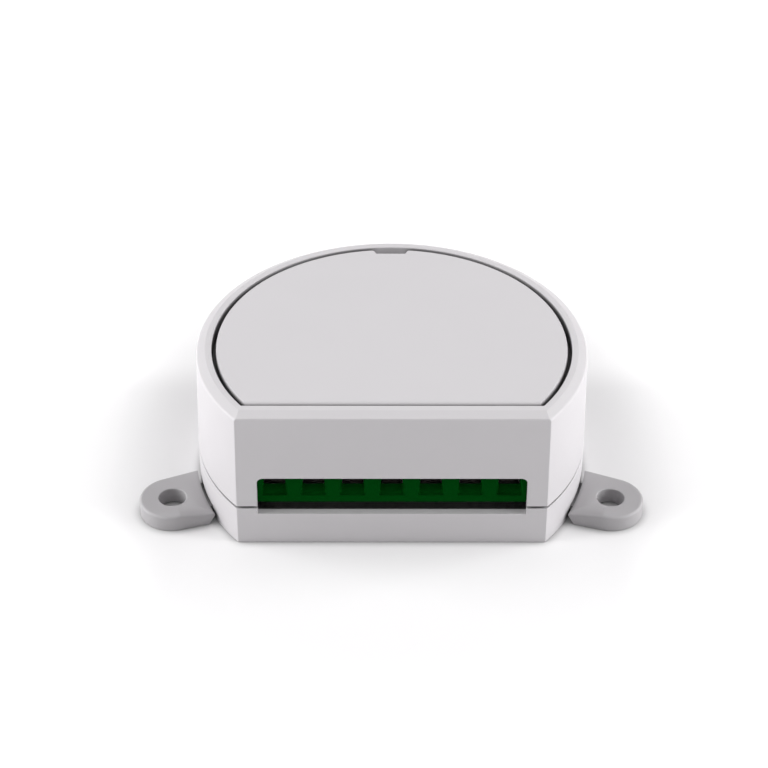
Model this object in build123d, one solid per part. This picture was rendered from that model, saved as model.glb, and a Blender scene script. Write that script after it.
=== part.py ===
from build123d import *

import os
from math import cos, hypot, radians, sin, tan

# Radio dimmer module for a flush box: a round two-part housing with a flat front,
# a clip-in top plate, two plug-in mounting ears and a seven-pole screw terminal.
# All lengths are in millimetres. +X is right, +Y is back, +Z is up.
# The origin is the centre of the round wall on the plane that the module stands on.

# Fits shared by all pieces
seat_gap = 0.05
slide_gap = 0.1
turn_gap = 0.05
part_gap = 1.2
cut_over = 0.5

# Terminal block: poles, clamping cages and screws, stacked up from the board
pole_count = 7
pole_pitch = 5.0
partition_wall = 1.1
cage_standoff = 0.6
cage_floor = 0.6
cage_roof = 1.0
cage_side = 0.5
cage_depth = 4.0
cage_travel = 1.8
wire_room = 2.35
strip_thickness = 0.5
strip_side_gap = 0.15
strip_leg_gap = 0.4
screw_diameter = 2.5
screw_head_diameter = 3.7
screw_head_height = 1.6
screw_slot_width = 0.6
screw_slot_depth = 0.8
screw_edge_chamfer = 0.2
head_shoulder = 0.6
head_recess = 0.75
pin_width = 1.0
pin_tail = 1.7
pin_point = 0.4
block_back_wall = 1.1
block_foot_chamfer = 0.6
block_foot_height = 0.4

# Wire funnels in the front of the terminal block
funnel_depth = 2.1
funnel_sill = 1.15
funnel_height = 3.6
funnel_foot_width = 3.4
funnel_top_width = 2.75
funnel_inset = 0.35

# Housing walls, from the inside out
board_thickness = 1.6
under_board_room = 2.85
floor_thickness = 1.2
guide_height = 1.55
roof_thickness = 1.4
plate_thickness = 1.35
front_face = 16.22
front_wall = 1.0
block_front_gap = 0.13
corner_room = 0.75
round_wall = 1.8
parting_above_board = 0.15
parting_groove = 0.3
upper_draft = 1.04
lower_draft = 0.3
bevel_width = 1.85
bevel_drop = 0.57
land_side = 0.17
land_front = 0.42
edge_round = 0.18
foot_round = 0.08

# Lap joint between the two shells, with its snap beads
skin_thickness = 1.0
lip_height = 1.5
bead_height = 0.25
bead_rise = 0.45
bead_span = 16.0
bead_angles = (20.0, 68.0, 112.0, 160.0)

# Terminal opening in the front face
opening_overlap = 0.37
opening_corner = 0.8
opening_height = 5.6
sill_step = 0.98

# Top plate and the posts that hold it in the roof
plate_gap_side = 0.53
plate_gap_front = 0.34
plate_round = 0.3
seam_depth = 0.8
seam_under = 0.3
notch_width = 3.7
notch_flare = 0.4
notch_depth = 0.95
post_diameter = 2.4
post_length = 4.0
post_chamfer = 0.4
post_inset = 2.9
post_tube_wall = 0.9
post_angles = (6.0, 58.0, 122.0, 174.0)

# Mounting ears with the tongues that plug into the lower shell
ear_thickness = 2.2
ear_half_width = 4.3
ear_flare = 0.2
ear_reach = 4.585
ear_angle = 18.7
ear_lean = 21.0
ear_wall_gap = 0.22
ear_hole_diameter = 3.6
ear_top_round = 0.35
ear_hole_round = 0.12
ear_relief_width = 0.85
ear_relief_height = 1.7
tongue_width = 5.0
tongue_length = 4.0
tongue_base = 0.6
tongue_thickness = 1.4
socket_wall = 1.0

# Main circuit board and what holds it
board_edge_gap = 0.4
board_setback = 2.4
board_screw_angle = 27.0
board_screw_inset = 2.7
board_screw_diameter = 2.0
board_screw_length = 4.4
board_screw_head_diameter = 3.8
board_screw_head_height = 1.3
boss_wall = 1.2
rest_angle = 8.0
rest_inset = 3.7
rest_diameter = 3.6
pin_hole_gap = 0.1

# Programming button and status light
switch_width = 6.2
switch_height = 3.5
button_diameter = 3.4
button_seat = 0.9
button_travel = 0.25
button_top_gap = 0.35
led_width = 2.0
led_height = 0.8
pipe_diameter = 3.0
pipe_led_gap = 0.2
pipe_flange_width = 0.6
pipe_flange_height = 0.8

# Radio board with its shield, antenna and right-angle header
radio_width = 12.0
radio_height = 9.4
radio_thickness = 1.0
shield_width = 9.0
shield_height = 6.0
shield_depth = 1.9
shield_wall = 0.3
shield_lift = 2.4
antenna_width = 10.0
antenna_height = 2.6
antenna_thickness = 0.4
antenna_slot = 0.8
header_width = 10.2
header_depth = 2.5
header_height = 2.5
header_pitch = 2.54
header_pin_count = 4
header_pin_width = 0.64

# Power parts on the main board
varistor_diameter = 7.0
varistor_thickness = 3.4
varistor_bevel = 0.6
varistor_lift = 1.0
lead_diameter = 0.6
bridge_width = 6.4
bridge_depth = 8.0
bridge_height = 3.0
bridge_lift = 0.4
bridge_lead_width = 1.0
bridge_lead_thickness = 0.3
row_gap = 1.5
choke_diameter = 9.0
choke_height = 8.0
choke_flange = 1.2
choke_core_diameter = 4.4
winding_gap = 0.5
bulk_diameter = 8.0
bulk_length = 11.5
bulk_bevel = 0.6
bulk_crimp = 0.35
bulk_crimp_place = 1.6
film_width = 5.4
film_length = 11.6
film_height = 8.4
film_round = 0.4
fuse_diameter = 4.2
fuse_height = 7.0
fuse_bevel = 0.5
sink_width = 21.0
sink_thickness = 1.2
sink_height = 8.4
sink_foot = 2.2
transistor_width = 6.6
transistor_height = 6.1
transistor_thickness = 2.3
transistor_tab_height = 1.0
transistor_tab_thickness = 0.5
transistor_lift = 1.2
transistor_lead_width = 0.8
transistor_lead_thickness = 0.5
transistor_lead_pitch = 2.28

# Heights that follow from the stack
board_bottom = floor_thickness + under_board_room
board_top = board_bottom + board_thickness
cage_base = board_top + cage_standoff
strip_bottom = cage_base + cage_floor + wire_room
strip_top = strip_bottom + strip_thickness
cage_top = strip_top + seat_gap + cage_roof
chamber_top = cage_top + cage_travel + slide_gap
head_base = chamber_top + head_shoulder + seat_gap
block_top = head_base + screw_head_height + head_recess
roof_bottom = block_top + guide_height
recess_floor = roof_bottom + roof_thickness
plate_base = recess_floor + seat_gap
total_height = plate_base + plate_thickness
parting_height = board_top + parting_above_board
lower_top = parting_height - parting_groove
lip_top = parting_height + lip_height
crease_height = total_height - bevel_drop
sill_height = board_top - sill_step

# Places that follow from the terminal block, front to back
block_half = pole_count * pole_pitch / 2
cavity_front = front_face - front_wall
block_front = -(cavity_front - block_front_gap)
chamber_front = block_front + funnel_depth
cage_front = chamber_front + slide_gap
screw_y = cage_front + cage_depth / 2
leg_front = cage_front + cage_depth + strip_leg_gap
leg_y = leg_front + strip_thickness / 2
chamber_back = leg_front + strip_thickness
block_back = chamber_back + block_back_wall
chamber_width = pole_pitch - partition_wall
cage_width = chamber_width - 2 * slide_gap
window_width = cage_width - 2 * cage_side
opening_half = block_half - opening_overlap

# Radii that follow from the terminal block and the walls
cavity_radius = hypot(block_half + corner_room, cavity_front)
body_radius = cavity_radius + round_wall
upper_slope = tan(radians(upper_draft))
lower_slope = tan(radians(lower_draft))
crease_inset = upper_slope * (crease_height - parting_height)
foot_inset = lower_slope * parting_height
lower_top_inset = lower_slope * parting_groove
recess_radius = body_radius - crease_inset - bevel_width - land_side
recess_front = front_face - crease_inset - bevel_width - land_front
plate_radius = recess_radius - plate_gap_side
plate_front = recess_front - plate_gap_front
skin_radius = body_radius - skin_thickness
lip_radius = skin_radius - seat_gap
board_radius = cavity_radius - board_edge_gap
board_front = block_front + board_setback
driver_hole_radius = screw_head_diameter / 2 + slide_gap

# Places of the ears
hole_distance = body_radius + ear_reach
hole_x = hole_distance * cos(radians(ear_angle))
hole_y = -hole_distance * sin(radians(ear_angle))
ear_inner_radius = body_radius - lower_slope * (parting_height - ear_thickness) + ear_wall_gap

# Places of the parts on the board, chained from the terminal block and the centre line
shield_front = block_back + part_gap
radio_front = shield_front + shield_depth
radio_back = radio_front + radio_thickness
switch_x = radio_width / 2 + part_gap + switch_width / 2
switch_y = shield_front + switch_width / 2
bridge_x = switch_x + switch_width / 2 + part_gap + bridge_width / 2
bridge_y = shield_front + bridge_depth / 2
varistor_x = -(radio_width / 2 + part_gap + varistor_diameter / 2)
varistor_y = shield_front + part_gap + varistor_thickness / 2
pipe_x = varistor_x - varistor_diameter / 2 - part_gap - pipe_diameter / 2
pipe_y = varistor_y
row_front = radio_back + header_depth + row_gap
choke_y = row_front + choke_diameter / 2
bulk_x = choke_diameter / 2 + row_gap + bulk_diameter / 2
film_x = -(choke_diameter / 2 + row_gap + film_width / 2)
fuse_x = film_x - film_width / 2 - row_gap - fuse_diameter / 2
fuse_y = row_front + fuse_diameter / 2
transistor_front = row_front + max(choke_diameter, bulk_length, film_length) + part_gap
sink_front = transistor_front + transistor_thickness
transistor_x = part_gap + transistor_width / 2


def polar(radius, angle):
    """The point at a distance from the centre, at an angle in degrees from +X."""
    return radius * cos(radians(angle)), radius * sin(radians(angle))


def pole_x(index):
    """The middle of a pole of the terminal block, counted from the left."""
    return (index - (pole_count - 1) / 2) * pole_pitch


def bar(x_range, y_range, z_range):
    """A block between two values on each axis."""
    ranges = (x_range, y_range, z_range)
    middle = [(low + high) / 2 for low, high in ranges]
    return Pos(*middle) * Box(*[high - low for low, high in ranges])


def around(centre, width):
    """The range of a width about its middle."""
    return centre - width / 2, centre + width / 2


def rod(x, y, z_range, radius):
    """An upright cylinder between two heights."""
    low, high = z_range
    return Pos(x, y, (low + high) / 2) * Cylinder(radius, high - low)


def face_of(points):
    """A flat face inside a closed outline of corner points."""
    return make_face(Polyline(*points, close=True))


def d_block(radius_profile, front_profile):
    """A round body with a flat front.

    Each profile lists (size, height) pairs from the bottom up: the round wall's
    radius, and the front face's distance from the centre.
    """
    low, high = radius_profile[0][1], radius_profile[-1][1]
    reach = max(radius for radius, _ in radius_profile) + cut_over
    turned = face_of([(0, low), *radius_profile, (0, high)])
    side = [(-distance, height) for distance, height in front_profile]
    kept = face_of([*side, (reach, high), (reach, low)])
    round_part = revolve(Plane.XZ * turned, Axis.Z)
    return round_part & extrude(Plane.YZ * kept, reach, both=True)


def straight_d(radius, front, z_range):
    """A D-shaped block with upright walls."""
    return d_block([(radius, z) for z in z_range], [(front, z) for z in z_range])


def round_edges(shape, edges, radius):
    """The shape with those edges rounded."""
    return fillet(ShapeList(edges), radius)


def edges_near(shape, height):
    """The edges that lie flat at a height."""
    return [e for e in shape.edges() if abs(e.bounding_box().min.Z - height) < turn_gap
            and abs(e.bounding_box().max.Z - height) < turn_gap]


def opening_cut():
    """The terminal opening: a wide hole with rounded upper corners, through the front wall."""
    width = 2 * opening_half
    outline = Pos(0, opening_height / 2) * Rectangle(width, opening_height)
    top_corners = outline.vertices().sort_by(Axis.Y)[-2:]
    outline = fillet(top_corners, opening_corner)
    start = Plane(origin=(0, -front_face - cut_over, sill_height), x_dir=(1, 0, 0), z_dir=(0, 1, 0))
    mirrored = mirror(outline, about=Plane.XZ)
    return extrude(start * mirrored, front_wall + 2 * cut_over)


def snap_bead(angle, growth):
    """A short ridge on the lip that snaps under the skin, or its pocket when grown by a gap."""
    reach = bead_height + growth
    rise = bead_rise + growth
    middle = (parting_height + lip_top) / 2
    inner = lip_radius - seat_gap
    profile = [(inner, middle - rise), (lip_radius + reach, middle), (inner, middle + rise)]
    span = bead_span + growth * bead_span
    ridge = revolve(Plane.XZ * face_of(profile), Axis.Z, revolution_arc=span)
    return Rot(0, 0, angle - span / 2) * ridge


def outer_upper():
    """The upper shell's outside: drafted walls, then a shallow bevel up to the rim."""
    crease = body_radius - crease_inset
    front_crease = front_face - crease_inset
    radii = [(body_radius, parting_height), (crease, crease_height), (crease - bevel_width, total_height)]
    fronts = [(front_face, parting_height), (front_crease, crease_height),
              (front_crease - bevel_width, total_height)]
    shape = d_block(radii, fronts)
    sharp = [e for e in shape.edges() if e.bounding_box().max.Z > parting_height + cut_over]
    return round_edges(shape, sharp, edge_round)


def upper_shell():
    """The housing's cover, with the plate's recess, the roof and the terminal opening."""
    shell = outer_upper()
    shell -= straight_d(cavity_radius, cavity_front, (parting_height - cut_over, roof_bottom))
    shell -= straight_d(skin_radius, cavity_front, (parting_height - cut_over, lip_top))
    shell -= straight_d(recess_radius, recess_front, (recess_floor, total_height + cut_over))
    shell -= seam_groove()
    shell += bar((-block_half, block_half), around(screw_y, pole_pitch), (block_top, roof_bottom + cut_over))
    for x, y in post_places():
        radius = post_diameter / 2 + turn_gap + post_tube_wall
        tube = rod(x, y, (recess_floor - post_length - cut_over, roof_bottom + cut_over), radius)
        shell += tube & straight_d(cavity_radius + seat_gap, cavity_front, (0, total_height))
    shell -= opening_cut()
    for angle in bead_angles:
        shell -= snap_bead(angle, seat_gap)
    for index in range(pole_count):
        shell -= rod(pole_x(index), screw_y, (block_top - cut_over, total_height), driver_hole_radius)
    for x, y in post_places():
        socket = (recess_floor - post_length - seat_gap, total_height)
        shell -= rod(x, y, socket, post_diameter / 2 + turn_gap)
    shell -= rod(switch_x, switch_y, (board_top, total_height), button_diameter / 2 + slide_gap)
    shell -= rod(pipe_x, pipe_y, (board_top, total_height), pipe_diameter / 2 + seat_gap)
    return shell


def seam_groove():
    """The groove in the roof that runs below the edge of the plate."""
    bottom = recess_floor - seam_depth
    outside = straight_d(recess_radius, recess_front, (bottom, plate_base))
    core = straight_d(plate_radius - seam_under, plate_front, (bottom - cut_over, total_height))
    return outside - core


def post_places():
    """Where the plate's posts enter the roof."""
    return [polar(recess_radius - post_inset, angle) for angle in post_angles]


def top_plate():
    """The inset plate: rounded upper edge, a pry notch at the back and four posts below."""
    plate = straight_d(plate_radius, plate_front, (plate_base, total_height))
    half, flare = notch_width / 2, notch_width / 2 + notch_flare
    inner, outer = plate_radius - notch_depth, plate_radius + cut_over
    flare_out = flare + notch_flare * cut_over / notch_depth
    notch = face_of([(-half, inner), (half, inner), (flare_out, outer), (-flare_out, outer)])
    plate -= extrude(Pos(0, 0, plate_base - cut_over) * notch, plate_thickness + 2 * cut_over)
    plate = round_edges(plate, edges_near(plate, total_height), plate_round)
    for x, y in post_places():
        post = rod(x, y, (recess_floor - post_length, plate_base + seat_gap), post_diameter / 2)
        plate += chamfer(post.edges().sort_by(Axis.Z)[:1], post_chamfer)
    return plate


def ear_slot(width, length, z_range):
    """A bar along the right ear's axis, from outside the wall to a depth inside it."""
    start = -ear_reach
    shape = bar((start - length, start + ear_reach / 2), around(0, width), z_range)
    return Pos(hole_x, hole_y, 0) * Rot(0, 0, -ear_lean) * shape


def both_sides(shape):
    """A shape and its mirror image."""
    return [shape, mirror(shape, about=Plane.YZ)]


def board_holders():
    """Screw bosses and plain rests that carry the board, right side first."""
    screw_x, screw_place_y = polar(cavity_radius - board_screw_inset, board_screw_angle)
    rest_x, rest_y = polar(cavity_radius - rest_inset, -rest_angle)
    boss = rod(screw_x, screw_place_y, (floor_thickness - cut_over, board_bottom),
               board_screw_diameter / 2 + boss_wall)
    rest = rod(rest_x, rest_y, (floor_thickness - cut_over, board_bottom), rest_diameter / 2)
    return boss + rest


def lower_shell():
    """The tray: drafted wall, lap lip with snap beads, bosses and the sockets of the ears."""
    foot = (body_radius - foot_inset, 0)
    top = (body_radius - lower_top_inset, lower_top)
    front_foot = (front_face - foot_inset, 0)
    front_top = (front_face - lower_top_inset, lower_top)
    outside = d_block([foot, top], [front_foot, front_top])
    outside = round_edges(outside, edges_near(outside, 0), foot_round)
    lip = straight_d(lip_radius, cavity_front, (floor_thickness, lip_top))
    for angle in bead_angles:
        lip += snap_bead(angle, 0)
    shell = outside + lip
    shell -= straight_d(cavity_radius, cavity_front, (floor_thickness, lip_top + cut_over))
    inside = straight_d(cavity_radius + seat_gap, cavity_front + seat_gap, (0, lower_top))
    socket_top = tongue_base + tongue_thickness + slide_gap + socket_wall
    socket = ear_slot(tongue_width + 2 * (slide_gap + socket_wall), tongue_length + socket_wall,
                      (floor_thickness / 2, socket_top))
    slot = ear_slot(tongue_width + 2 * slide_gap, tongue_length + slide_gap,
                    (tongue_base - slide_gap, tongue_base + tongue_thickness + slide_gap))
    for piece in both_sides(socket):
        shell += piece & inside
    for piece in both_sides(board_holders()):
        shell += piece & inside
    for piece in both_sides(slot):
        shell -= piece
    x, y = polar(cavity_radius - board_screw_inset, board_screw_angle)
    screw_hole = (board_top - board_screw_length - seat_gap, board_top)
    for side in (1, -1):
        shell -= rod(side * x, y, screw_hole, board_screw_diameter / 2 + seat_gap)
    shell -= bar((-opening_half, opening_half), (-front_face - cut_over, -cavity_front + cut_over),
                 (sill_height, lip_top + cut_over))
    return shell


def ear_right():
    """A mounting ear: a lug round its screw hole, with a tongue for the lower shell's socket."""
    inner, half = hole_distance / 2, ear_half_width
    wide = half + ear_flare * inner / ear_reach
    lug = extrude(face_of([(-inner, -wide), (0, -half), (0, half), (-inner, wide)]), ear_thickness)
    lug += rod(0, 0, (0, ear_thickness), ear_half_width)
    lug = round_edges(lug, edges_near(lug, ear_thickness), ear_top_round)
    lug -= rod(0, 0, (-cut_over, ear_thickness + cut_over), ear_hole_diameter / 2)
    rim = [edge for edge in edges_near(lug, ear_thickness) if edge.is_closed]
    lug = round_edges(lug, rim, ear_hole_round)
    ear = Pos(hole_x, hole_y, 0) * Rot(0, 0, -ear_lean) * lug
    ear -= rod(0, 0, (-cut_over, ear_thickness + cut_over), ear_inner_radius)
    relief = Cone(ear_inner_radius + ear_relief_width, ear_inner_radius, ear_relief_height)
    ear -= Pos(0, 0, ear_relief_height / 2) * relief
    tongue = ear_slot(tongue_width, tongue_length, (tongue_base, tongue_base + tongue_thickness))
    return ear + tongue


def main_board():
    """The main circuit board, a D shape with holes for the pins and its two screws."""
    board = straight_d(board_radius, -board_front, (board_bottom, board_top))
    through = (board_bottom - cut_over, board_top + cut_over)
    pin_hole_radius = hypot(pin_width, strip_thickness) / 2 + pin_hole_gap
    for index in range(pole_count):
        board -= rod(pole_x(index), leg_y, through, pin_hole_radius)
    x, y = polar(cavity_radius - board_screw_inset, board_screw_angle)
    for side in (1, -1):
        board -= rod(side * x, y, through, board_screw_diameter / 2 + slide_gap)
    return board


def board_screws():
    """The two screws that hold the board on its bosses."""
    x, y = polar(cavity_radius - board_screw_inset, board_screw_angle)
    head = rod(x, y, (board_top, board_top + board_screw_head_height), board_screw_head_diameter / 2)
    head = chamfer(edges_near(head, board_top + board_screw_head_height), screw_edge_chamfer)
    head -= bar(around(x, board_screw_head_diameter + cut_over), around(y, screw_slot_width),
                (board_top + board_screw_head_height - screw_slot_depth, board_top + board_screw_head_height))
    shank = rod(x, y, (board_top - board_screw_length, board_top + seat_gap), board_screw_diameter / 2)
    shank = chamfer(edges_near(shank, board_top - board_screw_length), screw_edge_chamfer)
    return Compound([solid for piece in both_sides(head + shank) for solid in piece.solids()])


def wire_funnel(x):
    """The tapered mouth that leads a wire into its clamp."""
    def mouth(inset):
        low, high = board_top + funnel_sill + inset, board_top + funnel_sill + funnel_height - inset
        foot, top = funnel_foot_width / 2 - inset, funnel_top_width / 2 - inset
        return face_of([(x - foot, low), (x + foot, low), (x + top, high), (x - top, high)])

    outer = Plane(origin=(0, block_front, 0), x_dir=(1, 0, 0), z_dir=(0, -1, 0)) * mouth(0)
    inner = Plane(origin=(0, chamber_front, 0), x_dir=(1, 0, 0), z_dir=(0, -1, 0)) * mouth(funnel_inset)
    return loft([outer, inner], ruled=True)


def terminal_body():
    """The green insulating block: funnels in front, a chamber per pole, screw wells on top."""
    block = bar((-block_half, block_half), (block_front, block_back), (board_top, block_top))
    foot = face_of([(block_front, board_top), (block_front + block_foot_chamfer, board_top),
                    (block_front, board_top + block_foot_height)])
    block -= extrude(Plane.YZ * foot, block_half + cut_over, both=True)
    chamber = (board_top - cut_over, chamber_top)
    well = (head_base - seat_gap, block_top + cut_over)
    for index in range(pole_count):
        x = pole_x(index)
        block -= wire_funnel(x)
        block -= bar(around(x, chamber_width), (chamber_front, chamber_back), chamber)
        block -= rod(x, screw_y, (chamber_top - cut_over, block_top), screw_diameter / 2 + turn_gap)
        block -= rod(x, screw_y, well, driver_hole_radius)
    return block


def terminal_screw(x):
    """One clamping screw with its slotted head."""
    head = rod(x, screw_y, (head_base, head_base + screw_head_height), screw_head_diameter / 2)
    head_top = head_base + screw_head_height
    head = chamfer(edges_near(head, head_top), screw_edge_chamfer)
    head -= bar(around(x, screw_head_diameter + cut_over), around(screw_y, screw_slot_width),
                (head_top - screw_slot_depth, head_top + cut_over))
    return head + rod(x, screw_y, (strip_top + seat_gap, head_base + seat_gap), screw_diameter / 2)


def terminal_clamp(x):
    """One rising cage: the screw turns in its roof and lifts it against the contact strip."""
    cage = bar(around(x, cage_width), (cage_front, cage_front + cage_depth), (cage_base, cage_top))
    cage -= bar(around(x, window_width), (cage_front - cut_over, cage_front + cage_depth + cut_over),
                (cage_base + cage_floor, cage_top - cage_roof))
    return cage - rod(x, screw_y, (cage_top - cage_roof - cut_over, cage_top + cut_over),
                      screw_diameter / 2 + turn_gap)


def terminal_pins():
    """The contact strips: each runs through its cage, turns down and ends in a solder pin."""
    strip_width = window_width - 2 * strip_side_gap
    tail = board_bottom - pin_tail
    pins = []
    for index in range(pole_count):
        x = pole_x(index)
        pin = bar(around(x, strip_width), (cage_front, chamber_back), (strip_bottom, strip_top))
        pin += bar(around(x, strip_width), (leg_front, chamber_back), (board_top, strip_top))
        half, point = pin_width / 2, pin_width / 2 - pin_width / 4
        outline = [(x - half, board_top), (x + half, board_top), (x + half, tail + pin_point),
                   (x + point, tail), (x - point, tail), (x - half, tail + pin_point)]
        pin += extrude(Plane(origin=(0, leg_front, 0), x_dir=(1, 0, 0), z_dir=(0, -1, 0)) * face_of(outline),
                       -strip_thickness)
        pins.append(pin.solid())
    return Compound(pins)


def button_switch():
    """The push switch's square body, with the bore that its plunger drops into."""
    top = board_top + switch_height
    body = bar(around(switch_x, switch_width), around(switch_y, switch_width), (board_top, top))
    depth = button_seat + button_travel + slide_gap
    return body - rod(switch_x, switch_y, (top - depth, top + cut_over), button_diameter / 2 + slide_gap)


def program_button():
    """The long plunger that is pressed from above, through the roof."""
    low = board_top + switch_height - button_seat
    button = rod(switch_x, switch_y, (low, recess_floor - button_top_gap), button_diameter / 2)
    return chamfer(edges_near(button, recess_floor - button_top_gap), screw_edge_chamfer)


def status_led():
    """The small light on the board, under the light pipe."""
    base = bar(around(pipe_x, led_width), around(pipe_y, led_width), (board_top, board_top + led_height / 2))
    return base + rod(pipe_x, pipe_y, (board_top, board_top + led_height), led_width / 2 - slide_gap)


def light_pipe():
    """The clear rod that carries the light up to the roof, with its stop flange."""
    low = board_top + led_height + pipe_led_gap
    pipe = rod(pipe_x, pipe_y, (low, recess_floor - button_top_gap), pipe_diameter / 2)
    return pipe + rod(pipe_x, pipe_y, (roof_bottom - seat_gap - pipe_flange_height, roof_bottom - seat_gap),
                      pipe_diameter / 2 + pipe_flange_width)


def radio_board():
    """The radio's own board, upright behind the terminal block."""
    return bar(around(0, radio_width), (radio_front, radio_back), (board_top, board_top + radio_height))


def radio_shield():
    """The pressed metal can over the radio chip, open towards its board."""
    low = board_top + shield_lift
    can = bar(around(0, shield_width), (shield_front, radio_front), (low, low + shield_height))
    hollow = bar(around(0, shield_width - 2 * shield_wall), (shield_front + shield_wall, radio_front),
                 (low + shield_wall, low + shield_height - shield_wall))
    return can - hollow


def antenna():
    """The stamped inverted-F antenna along the radio board's upper edge."""
    top = board_top + radio_height
    low = top - antenna_height
    plate = bar(around(0, antenna_width), (radio_back, radio_back + antenna_thickness), (low, top))
    leg = antenna_slot
    left = -antenna_width / 2
    through = (radio_back - cut_over, radio_back + antenna_thickness + cut_over)
    height = (low - cut_over, top - leg)
    between_legs = bar((left + leg, left + 2 * leg), through, height)
    under_arm = bar((left + 3 * leg, antenna_width / 2 + cut_over), through, height)
    return plate - between_legs - under_arm


def header_x(index):
    """The place of one header pin."""
    return (index - (header_pin_count - 1) / 2) * header_pitch


def header_strip():
    """The header's plastic strip between the two boards."""
    strip = bar(around(0, header_width), (radio_back, radio_back + header_depth),
                (board_top, board_top + header_height))
    middle = board_top + header_height / 2
    turn = radio_back + header_depth / 2
    half = header_pin_width / 2 + seat_gap
    for index in range(header_pin_count):
        x = header_x(index)
        across = (x - half, x + half)
        strip -= bar(across, (radio_back - cut_over, turn + half), (middle - half, middle + half))
        strip -= bar(across, (turn - half, turn + half), (board_top - cut_over, middle + half))
    return strip


def header_pins():
    """The right-angle pins that join the radio board to the main board."""
    middle = board_top + header_height / 2
    turn = radio_back + header_depth / 2
    half = header_pin_width / 2
    pins = []
    for index in range(header_pin_count):
        x = header_x(index)
        pin = bar((x - half, x + half), (radio_back, turn + half), (middle - half, middle + half))
        pin += bar((x - half, x + half), (turn - half, turn + half), (board_top, middle + half))
        pins.append(pin.solid())
    return Compound(pins)


def leads(x, y, low, high, pitch):
    """Two round leads that carry a part above the board."""
    left = rod(x - pitch / 2, y, (low, high), lead_diameter / 2)
    return left + rod(x + pitch / 2, y, (low, high), lead_diameter / 2)


def varistor():
    """The upright surge disc on its two leads."""
    centre = board_top + varistor_lift + varistor_diameter / 2
    disc = Cylinder(varistor_diameter / 2, varistor_thickness)
    disc = Pos(varistor_x, varistor_y, centre) * Rot(90, 0, 0) * disc
    disc = chamfer(disc.edges().filter_by(GeomType.CIRCLE), varistor_bevel)
    return disc + leads(varistor_x, varistor_y, board_top, centre, varistor_diameter / 2)


def bridge_rectifier():
    """The low rectifier block with four flat leads."""
    low = board_top + bridge_lift
    body = bar(around(bridge_x, bridge_width - 2 * bridge_lead_thickness), around(bridge_y, bridge_depth),
               (low, low + bridge_height))
    for x_side in (-1, 1):
        for y_side in (-1, 1):
            edge = bridge_x + x_side * (bridge_width / 2 - bridge_lead_thickness / 2)
            place = bridge_y + y_side * bridge_depth / 4
            body += bar(around(edge, bridge_lead_thickness), around(place, bridge_lead_width),
                        (board_top, low + bridge_height / 2))
    return body


def choke_core():
    """The drum core of the noise choke."""
    top = board_top + choke_height
    core = rod(0, choke_y, (board_top, board_top + choke_flange), choke_diameter / 2)
    core += rod(0, choke_y, (top - choke_flange, top), choke_diameter / 2)
    return core + rod(0, choke_y, (board_top, top), choke_core_diameter / 2)


def choke_winding():
    """The copper winding on the drum."""
    low, high = board_top + choke_flange, board_top + choke_height - choke_flange
    coil = rod(0, choke_y, (low, high), choke_diameter / 2 - winding_gap)
    return coil - rod(0, choke_y, (low, high), choke_core_diameter / 2)


def bulk_capacitor():
    """The smoothing capacitor, a can that lies on the board with a crimp near its end."""
    centre = board_top + bulk_diameter / 2
    radius = bulk_diameter / 2
    crimp = bulk_crimp_place
    profile = [(0, 0), (radius, 0), (radius, crimp - bulk_crimp), (radius - bulk_crimp, crimp),
               (radius, crimp + bulk_crimp), (radius, bulk_length), (0, bulk_length)]
    can = revolve(Plane.XZ * face_of(profile), Axis.Z)
    can = chamfer(can.edges().sort_by(Axis.Z)[-1:], bulk_bevel)
    return Pos(bulk_x, row_front, centre) * Rot(-90, 0, 0) * can


def film_capacitor():
    """The box-shaped interference capacitor."""
    box = bar(around(film_x, film_width), (row_front, row_front + film_length),
              (board_top, board_top + film_height))
    return fillet(box.edges().filter_by(Axis.Z), film_round)


def fuse():
    """The small round fuse, upright on the board."""
    body = rod(fuse_x, fuse_y, (board_top, board_top + fuse_height), fuse_diameter / 2)
    return chamfer(edges_near(body, board_top + fuse_height), fuse_bevel)


def heat_sink():
    """The bent aluminium plate that cools the transistors."""
    sink_back = sink_front + sink_thickness
    upright = bar(around(0, sink_width), (sink_front, sink_back), (board_top, board_top + sink_height))
    foot = bar(around(0, 2 * part_gap), (sink_front - sink_foot, sink_back),
               (board_top, board_top + sink_thickness))
    return upright + foot


def power_transistors():
    """The two switching transistors, upright against the heat sink on three leads each."""
    low = board_top + transistor_lift
    high = low + transistor_height
    pieces = []
    for side in (-1, 1):
        x = side * transistor_x
        body = bar(around(x, transistor_width), (transistor_front, sink_front), (low, high))
        body += bar(around(x, transistor_width), (sink_front - transistor_tab_thickness, sink_front),
                    (high, high + transistor_tab_height))
        for place in (-1, 0, 1):
            middle = x + place * transistor_lead_pitch
            y = transistor_front + transistor_thickness / 2
            body += bar(around(middle, transistor_lead_width), around(y, transistor_lead_thickness),
                        (board_top, low))
        pieces.append(body.solid())
    return Compound(pieces)


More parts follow.
